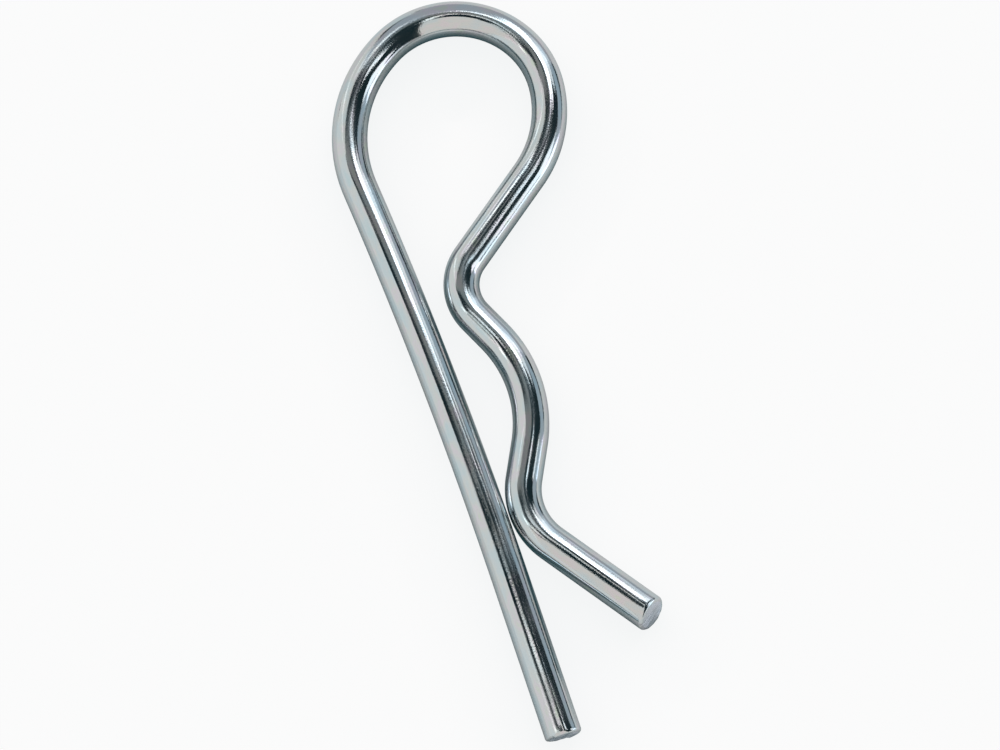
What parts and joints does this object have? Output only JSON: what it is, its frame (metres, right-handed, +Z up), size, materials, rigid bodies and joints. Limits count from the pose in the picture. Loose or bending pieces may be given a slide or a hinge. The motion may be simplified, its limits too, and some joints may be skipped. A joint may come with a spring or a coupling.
{
  "type": "hitch r clip pin",
  "caption": "One-piece bent spring-wire R clip with a straight leg for a cross-drilled shaft, a round eye to pull on, a waved spring leg that grips the shaft and a flared tip.",
  "frame": {"origin": "centre of the clip's outline on the surface it lies on, with the underside of the wire at Z = 0", "axes": "+X from the straight leg across to the waved spring leg, +Y along the straight leg from its free end to the eye, +Z up, square to the plane of the clip"},
  "size_m": [0.0278, 0.0846, 0.004],
  "materials": {
    "zinc_plated_wire": "bright zinc plate, clear chromate, on drawn spring steel wire"
  },
  "bodies": {
    "root": {"r_clip": "zinc_plated_wire"}
  },
  "joints": []
}
